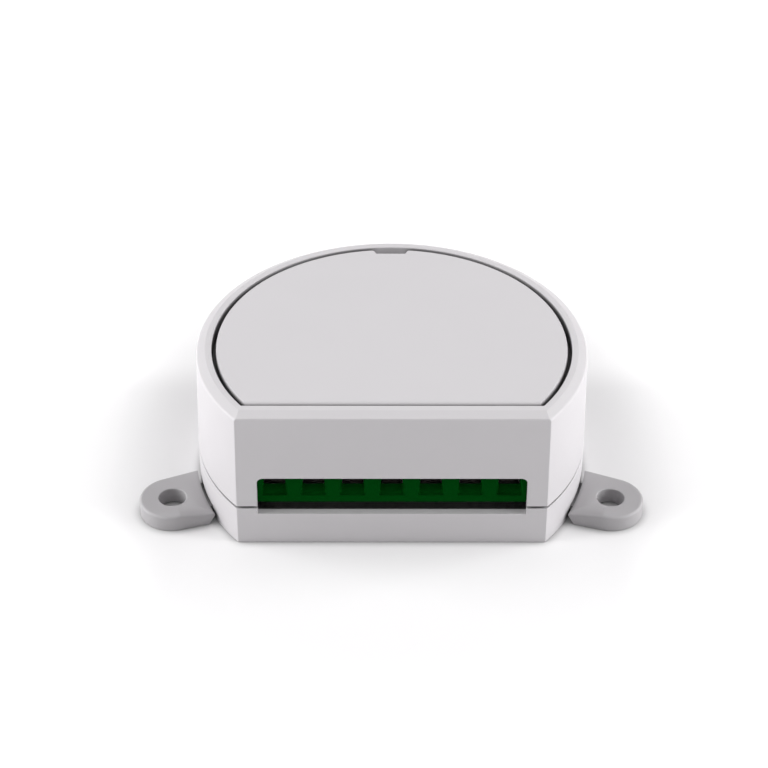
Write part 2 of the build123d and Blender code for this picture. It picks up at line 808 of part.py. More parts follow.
def all_parts():
    """Every piece by its name."""
    right = ear_right()
    parts = {
        "lower_shell": lower_shell(),
        "upper_shell": upper_shell(),
        "top_plate": top_plate(),
        "ear_right": right,
        "ear_left": mirror(right, about=Plane.YZ),
        "main_board": main_board(),
        "board_screws": board_screws(),
        "terminal_body": terminal_body(),
        "terminal_pins": terminal_pins(),
        "button_switch": button_switch(),
        "program_button": program_button(),
        "status_led": status_led(),
        "light_pipe": light_pipe(),
        "radio_board": radio_board(),
        "radio_shield": radio_shield(),
        "antenna": antenna(),
        "header_strip": header_strip(),
        "header_pins": header_pins(),
        "varistor": varistor(),
        "bridge_rectifier": bridge_rectifier(),
        "choke_core": choke_core(),
        "choke_winding": choke_winding(),
        "bulk_capacitor": bulk_capacitor(),
        "film_capacitor": film_capacitor(),
        "fuse": fuse(),
        "heat_sink": heat_sink(),
        "power_transistors": power_transistors(),
    }
    for index in range(pole_count):
        parts[f"terminal_screw_{index + 1}"] = terminal_screw(pole_x(index))
        parts[f"terminal_clamp_{index + 1}"] = terminal_clamp(pole_x(index))
    return parts


os.makedirs("parts", exist_ok=True)
for name, shape in all_parts().items():
    export_step(shape, f"parts/{name}.step")
print(f"body radius {body_radius:.2f}, height {total_height:.2f}")
print(f"ear holes {2 * hole_x:.2f} apart, at y {hole_y:.2f}")
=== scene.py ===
from math import asin, atan2, cos, pi, radians, sin, sqrt, tan

import bmesh
import bpy
from bpy.props import FloatProperty, FloatVectorProperty, PointerProperty
from mathutils import Matrix, Vector


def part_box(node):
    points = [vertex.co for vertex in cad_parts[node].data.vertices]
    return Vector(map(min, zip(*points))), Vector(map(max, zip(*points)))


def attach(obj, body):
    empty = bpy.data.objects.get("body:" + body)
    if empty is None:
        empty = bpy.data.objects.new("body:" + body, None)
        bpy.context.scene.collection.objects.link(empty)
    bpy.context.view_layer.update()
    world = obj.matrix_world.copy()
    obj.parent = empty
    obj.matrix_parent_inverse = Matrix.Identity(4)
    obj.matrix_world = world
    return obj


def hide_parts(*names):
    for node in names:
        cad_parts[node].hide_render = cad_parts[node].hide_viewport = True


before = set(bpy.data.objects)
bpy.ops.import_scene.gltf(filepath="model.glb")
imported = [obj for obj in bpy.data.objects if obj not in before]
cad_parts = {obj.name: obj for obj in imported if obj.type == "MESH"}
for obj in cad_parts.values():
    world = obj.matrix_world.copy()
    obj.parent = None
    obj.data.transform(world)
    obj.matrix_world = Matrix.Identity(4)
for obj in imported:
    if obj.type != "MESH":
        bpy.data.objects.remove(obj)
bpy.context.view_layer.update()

bl_info = {
    "name": "Flush Dimmer Module",
    "version": (1, 0, 0),
    "blender": (4, 5, 0),
    "location": "3D View > Sidebar > Dimmer",
    "description": "Builds a round dimmer module with its plate, ears and screw terminals",
    "category": "Add Mesh",
}

# All lengths are in metres. +X is right, +Y is back, +Z is up.

def middle_of(node):
    """The middle of a node seen from above."""
    low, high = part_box(node)
    return (low[0] + high[0]) / 2, (low[1] + high[1]) / 2


def half_width_of(node):
    """Half the width of a node, which is its radius where it is round."""
    low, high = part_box(node)
    return (high[0] - low[0]) / 2


# Sizes that the frame holds
upper_low, upper_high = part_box("upper_shell")
plate_low, plate_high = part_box("top_plate")
block_low, block_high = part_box("terminal_body")
ear_low, ear_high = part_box("ear_right")
clamp_low, clamp_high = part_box("terminal_clamp_1")
board_low, board_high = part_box("main_board")
screw_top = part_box("terminal_screw_1")[1][2]
lip_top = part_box("lower_shell")[1][2]

pole_count = 7
body_radius = upper_high[0]
front_face = -upper_low[1]
total_height = upper_high[2]
parting_height = upper_low[2]
plate_radius = plate_high[0]
plate_front = -plate_low[1]
board_top = board_high[2]
block_top = block_high[2]
screw_x, screw_y = middle_of("terminal_screw_1")
pole_pitch = (middle_of(f"terminal_screw_{pole_count}")[0] - screw_x) / (pole_count - 1)
button_x, button_y = middle_of("program_button")
pipe_x, pipe_y = middle_of("light_pipe")

# Fits and allowances shared by all pieces
seat_gap = 0.00005
slide_gap = 0.0001
cut_over = 0.0005
weld_distance = 0.0000005

# Seam round the plate, and the groove below it
plate_gap_side = 0.00053
plate_gap_front = 0.00034
seam_depth = 0.0008
seam_under = 0.0003

# Walls of the housing
front_wall = 0.001
round_wall = 0.0018
skin_thickness = 0.001
floor_thickness = 0.0012
roof_thickness = 0.0014
guide_height = 0.00155
recess_floor = block_top + guide_height + roof_thickness
seam_floor = recess_floor - seam_depth
roof_bottom = block_top + guide_height
cavity_radius = body_radius - round_wall
cavity_front = front_face - front_wall
skin_radius = body_radius - skin_thickness
lip_radius = skin_radius - seat_gap
parting_groove = 0.0003
parting_relief = 0.00008
lower_top = parting_height - parting_groove
land_side = 0.00082
land_front = 0.00107
foot_round = 0.00008
socket_wall = 0.001
boss_radius = 0.0022
boss_inset = 0.0027
boss_angle = 27.0
rest_radius = 0.0018
rest_inset = 0.0037
rest_angle = -8.0
screw_hole_radius = 0.00105

# Terminal opening
opening_overlap = 0.00037
sill_step = 0.00098
opening_half = block_high[0] - opening_overlap
sill_height = board_top - sill_step
opening_height = 0.0056
sill_corner = 0.00008

# Bore of the light pipe
pipe_radius = 0.0015

# Edges and corners of the plate
notch_round = 0.0003
plate_corner = 0.0003
plate_foot_round = 0.0001
side_edge_share = 0.4

# Posts of the plate
post_radius = 0.0012
post_length = 0.004
post_chamfer = 0.0004
post_inset = 0.0029
post_tube_wall = 0.0009
post_angles = (6.0, 58.0, 122.0, 174.0)

# Snap beads of the lap joint
bead_height = 0.00025
bead_rise = 0.00045
bead_span = 16.0
pocket_span = 16.8
bead_angles = (20.0, 68.0, 112.0, 160.0)
bead_steps = 12

# Ears where they meet the wall, the strip where their tops slope down, and their tongues
ear_wall_gap = 0.00036
ear_corner_round = 0.00012
ear_inner_round = 0.00005
ear_foot_round = 0.0001
slope_band = 0.0018
tongue_width = 0.005
tongue_length = 0.004
tongue_base = 0.0006
tongue_thickness = 0.0008

# Inside of the terminal block
block_foot_chamfer = 0.00015
block_foot_height = 0.0004
chamber_width = 0.0039
chamber_wall = 0.0011
clamp_rise = 0.0018
screw_radius = 0.00125
screw_head_height = 0.0016
chamber_front = clamp_low[1] - slide_gap
chamber_back = block_high[1] - chamber_wall
chamber_top = clamp_high[2] + clamp_rise + slide_gap
head_base = screw_top - screw_head_height
driver_hole_radius = half_width_of("terminal_screw_1") + slide_gap

# Patterns in the surfaces: how far apart, and how high or deep
flow_size = 0.006
sheen_size = 0.0015
grain_size = 0.00012
grain_height = 0.000004
tarnish_size = 0.0009
rub_size = 0.0004
scratch_size = 0.00008
scratch_depth = 0.000002
track_spacing = 0.0022
lacquer_size = 0.0005
lacquer_wave = 0.000005
wire_pitch = 0.0004
wire_relief = 0.00008
wave_repeat_share = pi / 10
pit_size = 0.0001
pit_depth = 0.00001
drip_size = 0.0016
drip_wave = 0.00004
paper_size = 0.003

# Detail of the cloudy patterns, and how far they move the roughness
soft_detail = 2.0
mid_detail = 3.0
rich_detail = 4.0
full_detail = 5.0
sheen_spread = 0.05
rub_polish = 0.1
rub_dulling = 0.14

# Painted shade in the gaps, and painted light inside the funnels
funnel_painted_light_depth = 0.001
funnel_painted_light_share = 2.0
seam_shade_reach = 0.001
least_shade_reach = 0.00005
floor_clearance = 0.002
groove_open_share = 0.45
inner_shade_reach = 0.006
inner_open_share = 0.3
foot_shade_reach = 0.0015

# Where the glow of the floor starts and is full, from the module's middle
side_glow_start = 0.0275
side_glow_full = 0.041
fore_glow_start = 0.012
fore_glow_full = 0.02
far_glow_start = 0.035
far_glow_full = 0.12

# Floor, and how far out and how high the soft panels stand
floor_half = 1.5
panel_size = 0.4
low_panel = (0.5, 0.15)
high_panel = (0.35, 0.35)

# Colours of the pieces that keep the frame's shape
screw_zinc = (0.70, 0.70, 0.72)
# The clamps' zinc is set much darker than the screws' zinc, as painted shade that keeps the clamps in the
# pockets dark.
clamp_zinc_and_painted_shade = (0.36, 0.36, 0.35)
contact_tin = (0.36, 0.35, 0.33)
shield_tin = (0.75, 0.75, 0.76)
can_aluminium = (0.72, 0.72, 0.73)
board_green = (0.02, 0.12, 0.05)
header_black = (0.02, 0.02, 0.02)
package_black = (0.03, 0.03, 0.03)
varistor_blue = (0.03, 0.12, 0.35)
core_grey = (0.05, 0.05, 0.05)
winding_copper = (0.72, 0.33, 0.14)
film_yellow = (0.75, 0.55, 0.08)
button_white = (0.80, 0.80, 0.78)
lens_white = (0.85, 0.85, 0.80)
acrylic_clear = (0.92, 0.94, 0.95)

# Fineness of the curved surfaces
arc_steps = 150
corner_steps = 6
ear_end_steps = 24
round_steps = 5
slope_steps = 8
hole_steps = 48
sharp_angle = radians(32.0)


# Settings

def length_setting(name, description, default):
    """A setting that is a length."""
    return FloatProperty(name=name, description=description, default=default, unit="LENGTH")


def angle_setting(name, description, degrees):
    """A setting that is an angle, with its default in degrees."""
    return FloatProperty(name=name, description=description, default=radians(degrees), subtype="ANGLE")


def amount_setting(name, description, default):
    """A setting that isn't below zero."""
    return FloatProperty(name=name, description=description, default=default, min=0.0)


def colour_setting(name, description, default):
    """A setting that is a colour."""
    return FloatVectorProperty(name=name, description=description, default=default, min=0.0, max=1.0,
                               subtype="COLOR")


class HousingSettings(bpy.types.PropertyGroup):
    """Sizes and colour of the two shells"""
    bevel_width: length_setting("Bevel width", "Width of the sloping band round the top", 0.0012)
    bevel_drop: length_setting("Bevel drop", "How far the band falls towards the wall", 0.00064)
    crease_round: length_setting("Crease round", "Radius between the band and the round wall", 0.0005)
    upper_draft: angle_setting("Upper draft", "Lean of the upper shell's wall", 1.04)
    lower_draft: angle_setting("Lower draft", "Lean of the lower shell's wall", 0.3)
    edge_round: length_setting("Edge round", "Radius of the outer edges", 0.00018)
    mouth_round: length_setting("Opening round", "Radius of the edge of the terminal opening", 0.00008)
    opening_corner: length_setting("Opening corner", "Corner radius of the terminal opening", 0.0008)
    colour: colour_setting("Housing colour", "Colour of the moulded shells", (0.6, 0.583, 0.6))


class PlateSettings(bpy.types.PropertyGroup):
    """Sizes of the inset top plate"""
    edge_round: length_setting("Plate edge", "Radius of the plate's upper edge in front", 0.0006)
    notch_width: length_setting("Notch width", "Width of the pry notch at its inner end", 0.0037)
    notch_flare: length_setting("Notch flare", "How much wider each side is at the mouth", 0.0004)
    notch_depth: length_setting("Notch depth", "Depth of the pry notch", 0.00095)


class EarSettings(bpy.types.PropertyGroup):
    """Sizes and colour of the two mounting ears"""
    half_width: length_setting("Half width", "Half the width across an ear", 0.0043)
    flare: length_setting("Flare", "How much wider each side of an ear is at the wall", 0.0002)
    lean: angle_setting("Lean", "How far each ear points towards the front", 21.0)
    hole_radius: length_setting("Hole radius", "Radius of the screw hole", 0.0018)
    hole_round: length_setting("Hole edge", "Radius of the screw hole's upper edge", 0.00012)
    edge_round: length_setting("Ear edge", "Radius of the upper edge", 0.00035)
    relief_width: length_setting("Relief width", "Width of the undercut next to the wall", 0.00085)
    relief_height: length_setting("Relief height", "Height of the undercut next to the wall", 0.00205)
    slope_reach: length_setting("Slope reach", "How far from the wall the top slopes down", 0.0024)
    slope_share: amount_setting("Slope share", "Share of the thickness lost at the front corner", 0.36)
    # The ears' colour is set darker than the shells' as painted shade, for the less light their tops get
    # beside the housing.
    colour: colour_setting("Ear colour", "Colour of the moulded ears", (0.425, 0.413, 0.425))


class TerminalSettings(bpy.types.PropertyGroup):
    """Sizes and colour of the terminal block"""
    funnel_sill: length_setting("Funnel sill", "Height of a funnel's foot above the board", 0.00115)
    funnel_height: length_setting("Funnel height", "Height of a funnel's mouth", 0.0036)
    foot_width: length_setting("Foot width", "Width of a funnel's mouth at its foot", 0.0034)
    top_width: length_setting("Top width", "Width of a funnel's mouth at its top", 0.00275)
    inset: length_setting("Taper", "How much each side of a funnel draws in", 0.00035)
    edge_round: length_setting("Funnel edge", "Radius of a funnel's mouth", 0.00012)
    colour: colour_setting("Terminal colour", "Colour of the insulating block", (0.0008, 0.055, 0.005))


class StageSettings(bpy.types.PropertyGroup):
    """Camera and light of the stage"""
    lens: amount_setting("Lens", "Focal length of the camera in millimetres", 104.01)
    sensor: amount_setting("Sensor", "Width of the camera's sensor in millimetres", 36.0)
    camera_place: FloatVectorProperty(
        name="Camera place", description="Where the camera stands",
        default=(-0.0024, -0.23659, 0.18254), subtype="TRANSLATION")
    camera_pitch: angle_setting("Pitch", "How far the camera looks down", 35.5528)
    camera_yaw: angle_setting("Yaw", "How far the camera turns to the right", 0.3416)
    camera_roll: angle_setting("Roll", "How far the camera leans", 0.2363)
    sky_light: amount_setting("Sky light", "Strength of the even light from all round", 0.35)
    side_light: amount_setting("Side light", "Watts of the low soft panel at each side", 2.36)
    upper_light: amount_setting("Upper light", "Watts of the high soft panel at each side", 0.78)
    side_glow: amount_setting("Side glow", "White seen in the floor far to each side", 0.235)
    fore_glow: amount_setting("Fore glow", "White seen in the floor in front and behind", 0.09)
    floor_colour: colour_setting("Floor colour", "Colour of the pale floor", (0.8, 0.793, 0.8))


# Outlines and solids

def polar(radius, angle):
    """The point at a distance from the centre, at an angle in degrees from +X."""
    return radius * cos(radians(angle)), radius * sin(radians(angle))


def pole_x(index):
    """The middle of a pole of the terminal block, counted from the left."""
    return screw_x + index * pole_pitch


def arc(centre, radius, start, end, steps):
    """Points along an arc, both ends included."""
    turns = [start + (end - start) * step / steps for step in range(steps + 1)]
    return [(centre[0] + radius * cos(turn), centre[1] + radius * sin(turn)) for turn in turns]


def rounded_path(points, radii, steps=round_steps):
    """An open outline whose inner corners are rounded; a radius of 0 leaves a corner sharp."""
    path = [tuple(points[0])]
    for before, corner, after, radius in zip(points, points[1:], points[2:], radii):
        if radius == 0:
            path.append(tuple(corner))
            continue
        corner = Vector(corner)
        back = (Vector(before) - corner).normalized()
        ahead = (Vector(after) - corner).normalized()
        half = back.angle(ahead) / 2
        centre = corner + (back + ahead).normalized() * (radius / sin(half))
        start = corner + back * (radius / tan(half)) - centre
        end = corner + ahead * (radius / tan(half)) - centre
        first = atan2(start.y, start.x)
        turn = atan2(end.y, end.x) - first
        turn = (turn + pi) % (2 * pi) - pi
        path += arc(centre, radius, first, first + turn, steps)
    return path + [tuple(points[-1])]


def front_corner(radius, front, corner):
    """The rounded corner from the flat front to the round wall, and the turn where it ends."""
    centre_x = sqrt((radius - corner) ** 2 - (corner - front) ** 2)
    turn = atan2(corner - front, centre_x)
    return arc((centre_x, corner - front), corner, -pi / 2, turn, corner_steps), turn


def d_outline(radius, front, corner):
    """A round outline with a flat front, anticlockwise from the front's right end."""
    right, turn = front_corner(radius, front, corner)
    wall = arc((0, 0), radius, turn, pi - turn, arc_steps)
    return right + wall[1:-1] + [(-x, y) for x, y in reversed(right)]


def quarter_round(radius, steps=round_steps):
    """How far a rounded edge draws back at each depth below its face."""
    turns = [pi / 2 * (1 - step / steps) for step in range(steps + 1)]
    return [(radius - radius * sin(turn), radius - radius * cos(turn)) for turn in turns]


def lofted(loops):
    """A closed solid through outlines of as many points each, given as 3D points."""
    solid = bmesh.new()
    rings = [[solid.verts.new(point) for point in loop] for loop in loops]
    for below, above in zip(rings, rings[1:]):
        for here in range(len(below)):
            there = (here + 1) % len(below)
            solid.faces.new((below[here], below[there], above[there], above[here]))
    solid.faces.new(reversed(rings[0]))
    solid.faces.new(rings[-1])
    bmesh.ops.recalc_face_normals(solid, faces=solid.faces)
    return solid


def flat(points, height):
    """An outline at a height."""
    return [(x, y, height) for x, y in points]


def d_solid(levels, corner):
    """A D-shaped solid through (radius, front, height) levels from the bottom up."""
    return lofted([flat(d_outline(radius, front, corner), height) for radius, front, height in levels])


def turned(x, y, profile, steps=hole_steps):
    """An upright solid of revolution through (radius, height) pairs."""
    return lofted([flat(arc((x, y), radius, 0, 2 * pi * (steps - 1) / steps, steps - 1), height)
                   for radius, height in profile])


def brick(x_range, y_range, z_range):
    """A block between two values on each axis."""
    x_low, x_high = x_range
    y_low, y_high = y_range
    corners = [(x_low, y_low), (x_high, y_low), (x_high, y_high), (x_low, y_high)]
    return lofted([flat(corners, height) for height in z_range])


def rod(x, y, radius, low, high):
    """An upright round rod."""
    return turned(x, y, [(radius, low), (radius, high)])


def hole(x, y, radius, low, high, mouth):
    """A cutter for a hole whose upper edge is rounded."""
    flare = [(radius + growth, high - depth) for depth, growth in reversed(quarter_round(mouth))]
    return turned(x, y, [(radius, low), *flare, (radius + mouth, high + cut_over)])


def add_object(name, solid):
    """A new object that holds a solid."""
    mesh = bpy.data.meshes.new(name)
    solid.to_mesh(mesh)
    solid.free()
    piece = bpy.data.objects.new(name, mesh)
    bpy.context.scene.collection.objects.link(piece)
    return piece


def combine(piece, solids, operation):
    """Cuts solids away from a piece, or adds them to it, one after the other."""
    tools = [add_object("tool", solid) for solid in solids]
    for tool in tools:
        step = piece.modifiers.new("Step", "BOOLEAN")
        step.operation = operation
        step.solver = "EXACT"
        step.object = tool
    graph = bpy.context.evaluated_depsgraph_get()
    mesh = bpy.data.meshes.new_from_object(piece.evaluated_get(graph))
    piece.modifiers.clear()
    spent = [piece.data, *[tool.data for tool in tools]]
    piece.data = mesh
    for tool in tools:
        bpy.data.objects.remove(tool)
    for old in spent:
        bpy.data.meshes.remove(old)


def dress(piece, material, body, slot, *nodes):
    """Smooths a piece between its sharp edges and gives it its finish and body; the slot is not used."""
    solid = bmesh.new()
    solid.from_mesh(piece.data)
    bmesh.ops.remove_doubles(solid, verts=solid.verts, dist=weld_distance)
    for face in solid.faces:
        face.smooth = True
    for edge in solid.edges:
        edge.smooth = len(edge.link_faces) == 2 and edge.calc_face_angle(0) < sharp_angle
    solid.to_mesh(piece.data)
    solid.free()
    piece.data.name = piece.name
    piece.data.materials.clear()
    piece.data.materials.append(material)
    even = piece.modifiers.new("Even shading", "WEIGHTED_NORMAL")
    even.keep_sharp = True
    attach(piece, body)
    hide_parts(*nodes)


# Materials

def new_material(name, colour, inputs):
    """A material whose shader has a colour and the given input values, and its node tree."""
    material = bpy.data.materials.new(name)
    material.use_nodes = True
    shader = material.node_tree.nodes["Principled BSDF"]
    shader.inputs["Base Color"].default_value = (*colour, 1)
    for socket, value in inputs.items():
        shader.inputs[socket].default_value = value
    return material, material.node_tree


def add_node(tree, kind, inputs, **settings):
    """A node with its settings made, and its inputs fed by values or by outputs of nodes."""
    node = tree.nodes.new("ShaderNode" + kind)
    for name, value in settings.items():
        setattr(node, name, value)
    for socket, value in inputs.items():
        if isinstance(value, bpy.types.NodeSocket):
            tree.links.new(value, node.inputs[socket])
        else:
            node.inputs[socket].default_value = value
    return node


def feed_shader(tree, output, socket):
    """Feeds an output into an input of the material's shader."""
    tree.links.new(output, tree.nodes["Principled BSDF"].inputs[socket])


def place_in(tree):
    """The place on the object as a vector."""
    return add_node(tree, "TexCoord", {}).outputs["Object"]


def axes_of(tree, place):
    """The three parts of a place."""
    return add_node(tree, "SeparateXYZ", {"Vector": place}).outputs


def cloud(tree, size, detail=soft_detail, stretch=(1, 1, 1)):
    """A cloudy pattern with blotches about a size across."""
    place = add_node(tree, "Mapping", {"Vector": place_in(tree), "Scale": stretch}).outputs["Vector"]
    return add_node(tree, "TexNoise", {"Vector": place, "Scale": 1 / size, "Detail": detail}).outputs["Fac"]


def rise_from(tree, value, start, full, amount):
    """A smooth rise from 0 to an amount while a value goes from a start to its full mark."""
    inputs = {"Value": value, "From Min": start, "From Max": full, "To Max": amount}
    return add_node(tree, "MapRange", inputs, interpolation_type="SMOOTHSTEP").outputs["Result"]


def calculate(tree, operation, first, second):
    """The result of a sum with two values or outputs of nodes."""
    return add_node(tree, "Math", {0: first, 1: second}, operation=operation).outputs["Value"]


def vary_roughness(tree, pattern, low, high):
    """Lets a pattern move the roughness between two values."""
    spread = add_node(tree, "MapRange", {"Value": pattern, "To Min": low, "To Max": high})
    feed_shader(tree, spread.outputs["Result"], "Roughness")


def vary_colour(tree, pattern, colour, change_share):
    """Lets a pattern darken and lighten the colour by a small share."""
    ramp = add_node(tree, "ValToRGB", {"Fac": pattern})
    for element, share in zip(ramp.color_ramp.elements, (1 - change_share, 1 + change_share)):
        element.color = (*[min(1, part * share) for part in colour], 1)
    feed_shader(tree, ramp.outputs["Color"], "Base Color")


def raise_grain(tree, pattern, height):
    """Lets a pattern raise a fine relief of a height."""
    relief = add_node(tree, "Bump", {"Height": pattern, "Distance": height})
    feed_shader(tree, relief.outputs["Normal"], "Normal")


def scale_colour(tree, factor):
    """Multiplies the shader's colour by a factor."""
    before = tree.nodes["Principled BSDF"].inputs["Base Color"].links[0].from_socket
    scaled = add_node(tree, "VectorMath", {0: before, "Scale": factor}, operation="SCALE")
    feed_shader(tree, scaled.outputs["Vector"], "Base Color")


def shade_crevices(tree, reach, open_share=1.0):
    """Paints shade into the colour: darkens a surface that sees less open space within a reach than a share
    of all round.
    """
    crevice = add_node(tree, "AmbientOcclusion", {"Distance": reach})
    scale_colour(tree, rise_from(tree, crevice.outputs["AO"], 0, open_share, 1))


def moulded_plastic(name, colour, roughness=0.5, gloss=0.4):
    """Satin moulded plastic with a fine spark-eroded grain and faint flow shades."""
    material, tree = new_material(name, colour, {"Roughness": roughness, "Specular IOR Level": gloss})
    sheen = cloud(tree, sheen_size, rich_detail)
    vary_colour(tree, cloud(tree, flow_size, mid_detail), colour, change_share=0.012)
    vary_roughness(tree, sheen, roughness - sheen_spread, roughness + sheen_spread)
    raise_grain(tree, cloud(tree, grain_size, mid_detail), grain_height)
    return material


def shell_plastic(name, colour, open_share=1.0):
    """The moulded plastic of the outer pieces, with painted shade in their gaps but not beside the floor."""
    material = moulded_plastic(name, colour)
    tree = material.node_tree
    height = axes_of(tree, place_in(tree))[2]
    clear = rise_from(tree, height, 0, floor_clearance, seam_shade_reach)
    shade_crevices(tree, calculate(tree, "MAXIMUM", clear, least_shade_reach), open_share)
    return material


def block_plastic(name, colour):
    """Dull plastic with painted light inside its funnels, whose colour is made up to three times as bright
    there.
    """
    material = moulded_plastic(name, colour, roughness=0.6, gloss=0.0)
    tree = material.node_tree
    depth, face = axes_of(tree, place_in(tree))[1], block_low[1]
    inside = rise_from(tree, depth, face, face + funnel_painted_light_depth, funnel_painted_light_share)
    scale_colour(tree, calculate(tree, "ADD", inside, 1))
    return material


def plated_metal(name, colour, roughness, brushed=(1, 1, 1)):
    """Plated or bare metal with faint drawing marks and dull spots."""
    material, tree = new_material(name, colour, {"Roughness": roughness, "Metallic": 1.0})
    rubs = cloud(tree, rub_size, full_detail, brushed)
    vary_colour(tree, cloud(tree, tarnish_size, rich_detail), colour, change_share=0.06)
    vary_roughness(tree, rubs, roughness - rub_polish, roughness + rub_dulling)
    raise_grain(tree, cloud(tree, scratch_size, soft_detail, brushed), scratch_depth)
    return material


def solder_mask(name, colour):
    """Satin green lacquer over faint copper tracks."""
    material, tree = new_material(name, colour, {"Roughness": 0.45, "Specular IOR Level": 0.15})
    tracks = add_node(tree, "TexVoronoi", {"Vector": place_in(tree), "Scale": 1 / track_spacing},
                      feature="DISTANCE_TO_EDGE")
    vary_colour(tree, tracks.outputs["Distance"], colour, change_share=0.35)
    raise_grain(tree, cloud(tree, lacquer_size), lacquer_wave)
    return material


def wound_copper(name, colour):
    """Enamelled wire whose turns lie side by side up the drum."""
    material, tree = new_material(name, colour, {"Roughness": 0.3, "Metallic": 1.0, "Coat Weight": 0.6})
    turns = add_node(tree, "TexWave", {"Vector": place_in(tree), "Scale": wave_repeat_share / wire_pitch},
                     bands_direction="Z").outputs["Fac"]
    vary_colour(tree, turns, colour, change_share=0.3)
    raise_grain(tree, turns, wire_relief)
    return material


def clear_acrylic(name, colour):
    """Clear moulded rod with a lightly frosted skin."""
    material, tree = new_material(name, colour, {"Roughness": 0.12, "Transmission Weight": 0.85, "IOR": 1.49})
    vary_roughness(tree, cloud(tree, lacquer_size, mid_detail), low=0.06, high=0.18)
    return material


def sintered_ferrite(name, colour):
    """Dull grey-black ceramic with a fine pitted skin."""
    material, tree = new_material(name, colour, {"Roughness": 0.6})
    vary_colour(tree, cloud(tree, rub_size, rich_detail), colour, change_share=0.25)
    raise_grain(tree, cloud(tree, pit_size, full_detail), pit_depth)
    return material


def dipped_lacquer(name, colour):
    """Glossy dipped coating with slow waves."""
    material, tree = new_material(name, colour, {"Roughness": 0.22, "Coat Weight": 0.5})
    waves = cloud(tree, drip_size)
    vary_colour(tree, waves, colour, change_share=0.1)
    raise_grain(tree, waves, drip_wave)
    return material


def finish_nodes(material, *nodes):
    """Gives carried-over pieces their finish."""
    for node in nodes:
        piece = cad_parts[node]
        piece.data.materials.clear()
        piece.data.materials.append(material)


def numbered(name):
    """The names of the seven pieces of one kind."""
    return [f"{name}_{index + 1}" for index in range(pole_count)]


# Where the ears and their tongues lie

def ear_hole():
    """The centre of the right ear's hole."""
    half = bpy.context.scene.dimmer_ears.half_width
    return Vector((ear_high[0] - half, ear_low[1] + half))


def ear_reach():
    """How far an ear's hole stands outside the wall."""
    return ear_hole().length - body_radius


def ear_axes():
    """The directions along the right ear, away from the wall, and across it."""
    lean = bpy.context.scene.dimmer_ears.lean
    return Vector((cos(lean), -sin(lean))), Vector((sin(lean), cos(lean)))


def ear_bar(width, start, end, low, high, side):
    """A bar along an ear, between two distances from its hole."""
    along, across = ear_axes()
    ends = [(end, -1), (start, -1), (start, 1), (end, 1)]
    points = [ear_hole() + along * place + across * half * width / 2 for place, half in ends]
    corners = [(side * point.x, point.y) for point in points]
    return lofted([flat(corners, height) for height in (low, high)])


def tongue_bar(growth, side):
    """The tongue that holds an ear in the housing, or its slot when grown by a gap."""
    reach = ear_reach()
    return ear_bar(tongue_width + 2 * growth, -reach - tongue_length - growth, -reach / 2,
                   tongue_base - growth, tongue_base + tongue_thickness + growth, side)


# Housing

def wall_slopes():
    """How fast the walls of the upper and the lower shell draw in."""
    sizes = bpy.context.scene.dimmer_housing
    return tan(sizes.upper_draft), tan(sizes.lower_draft)


def bevel_insets():
    """How far the bevel's lower and upper edges stand inside the foot of the upper wall."""
    sizes = bpy.context.scene.dimmer_housing
    crease_inset = wall_slopes()[0] * (total_height - sizes.bevel_drop - parting_height)
    return crease_inset, crease_inset + sizes.bevel_width


def post_places():
    """Where the plate's posts enter the roof, at one distance from the recess's round edge."""
    radius = body_radius - bevel_insets()[1] - land_side - post_inset
    return [polar(radius, angle) for angle in post_angles]


def face_inset(height):
    """How far the flat front draws back at a height."""
    upper_slope, lower_slope = wall_slopes()
    above = height - parting_height
    return upper_slope * above if above > 0 else -lower_slope * above


def opening_cutter():
    """The terminal opening with rounded corners and a rounded outer edge."""
    sizes = bpy.context.scene.dimmer_housing

    def loop(growth, depth):
        half, low = opening_half + growth, sill_height - growth
        high = sill_height + opening_height + growth
        top, foot = sizes.opening_corner + growth, sill_corner + growth
        ring = [(half, parting_height)]
        ring += arc((half - top, high - top), top, 0, pi / 2, corner_steps)
        ring += arc((top - half, high - top), top, pi / 2, pi, corner_steps)
        ring += [(-half, parting_height)]
        ring += arc((foot - half, low + foot), foot, pi, 3 * pi / 2, corner_steps)
        ring += arc((half - foot, low + foot), foot, 3 * pi / 2, 2 * pi, corner_steps)
        return [(x, face_inset(z) - front_face + depth, z) for x, z in ring]

    loops = [loop(sizes.mouth_round, -cut_over)]
    loops += [loop(growth, depth) for depth, growth in quarter_round(sizes.mouth_round)]
    return lofted([*loops, loop(0, front_wall + cut_over)])


def upper_outside():
    """The upper shell's outside with its rounded bevel and the recess for the plate."""
    sizes = bpy.context.scene.dimmer_housing
    crease = total_height - sizes.bevel_drop
    crease_inset, rim_inset = bevel_insets()
    edge = sizes.edge_round

    def profile(land, gap, crease_round):
        wall, core = rim_inset + land, rim_inset + land + gap
        foot = parting_height + parting_relief
        corners = [(cut_over, foot), (0, foot), (crease_inset, crease),
                   (rim_inset, total_height), (wall, total_height), (wall, seam_floor),
                   (core, seam_floor), (core, recess_floor), (core + cut_over, recess_floor)]
        return rounded_path(corners, [edge / 2, crease_round, edge, edge, 0, 0, edge / 2])

    sides = profile(land_side, plate_gap_side + seam_under, sizes.crease_round)
    fronts = profile(land_front, plate_gap_front, edge)
    levels = [(body_radius - side, front_face - front, height)
              for (side, height), (front, _) in zip(sides, fronts)]
    return d_solid(levels, edge)


def snap_bead(angle, span, growth):
    """A short ridge that snaps the shells together, or its pocket when grown by a gap."""
    reach, rise = lip_radius + bead_height + growth, bead_rise + growth
    middle = (parting_height + lip_top) / 2
    inner = lip_radius - seat_gap
    profile = [(inner, middle - rise), (reach, middle), (inner, middle + rise)]
    turns = [angle + span * (step / bead_steps - 1 / 2) for step in range(bead_steps + 1)]
    return lofted([[(*polar(radius, turn), height) for radius, height in profile] for turn in turns])


def plain_d(radius, front, low, high):
    """A D-shaped solid with upright walls."""
    return d_solid([(radius, front, low), (radius, front, high)], seat_gap)


